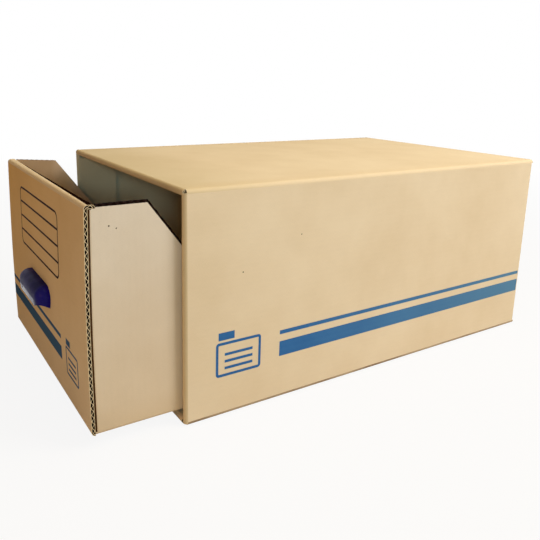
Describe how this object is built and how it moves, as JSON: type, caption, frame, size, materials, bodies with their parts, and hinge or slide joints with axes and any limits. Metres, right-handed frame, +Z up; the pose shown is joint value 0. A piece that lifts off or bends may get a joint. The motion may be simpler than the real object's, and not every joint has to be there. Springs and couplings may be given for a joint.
{
  "type": "archive box",
  "caption": "Corrugated board archive box: long sleeve with a folded drawer that slides out of its mouth, moulded cup pull, write-in label lines and printed stripes.",
  "frame": {"origin": "centre of the sleeve's underside", "axes": "+Z up, +Y along the sleeve towards its closed rear, -Y the way the drawer comes out, +X to the right seen from the drawer's front"},
  "size_m": [0.38, 0.719, 0.27],
  "materials": {
    "kraft_board": "matt kraft paper",
    "navy_plastic": "gloss moulded"
  },
  "bodies": {
    "sleeve": {"sleeve_bottom_panel": "kraft_board", "sleeve_top_panel": "kraft_board", "sleeve_right_panel": "kraft_board", "sleeve_left_panel": "kraft_board", "sleeve_glue_flap": "kraft_board", "sleeve_hem_top": "kraft_board", "sleeve_hem_bottom": "kraft_board", "sleeve_hem_right": "kraft_board", "sleeve_hem_left": "kraft_board", "sleeve_rear_flap_right": "kraft_board", "sleeve_rear_flap_left": "kraft_board", "sleeve_rear_flap_top": "kraft_board", "sleeve_rear_flap_bottom": "kraft_board"},
    "drawer": {"drawer_bottom_panel": "kraft_board", "drawer_side_right": "kraft_board", "drawer_side_left": "kraft_board", "drawer_front_outer": "kraft_board", "drawer_front_roll": "kraft_board", "drawer_front_inner": "kraft_board", "drawer_front_flap_right": "kraft_board", "drawer_front_flap_left": "kraft_board", "drawer_back_outer": "kraft_board", "drawer_back_roll": "kraft_board", "drawer_back_inner": "kraft_board", "drawer_back_flap_right": "kraft_board", "drawer_back_flap_left": "kraft_board", "pull_cup": "navy_plastic", "pull_backplate": "navy_plastic"}
  },
  "joints": [
    {"name": "drawer_slide", "type": "slide", "parent": "sleeve", "child": "drawer", "axis": [0, -1, 0], "range_m": [-0.102, 0.49]}
  ]
}
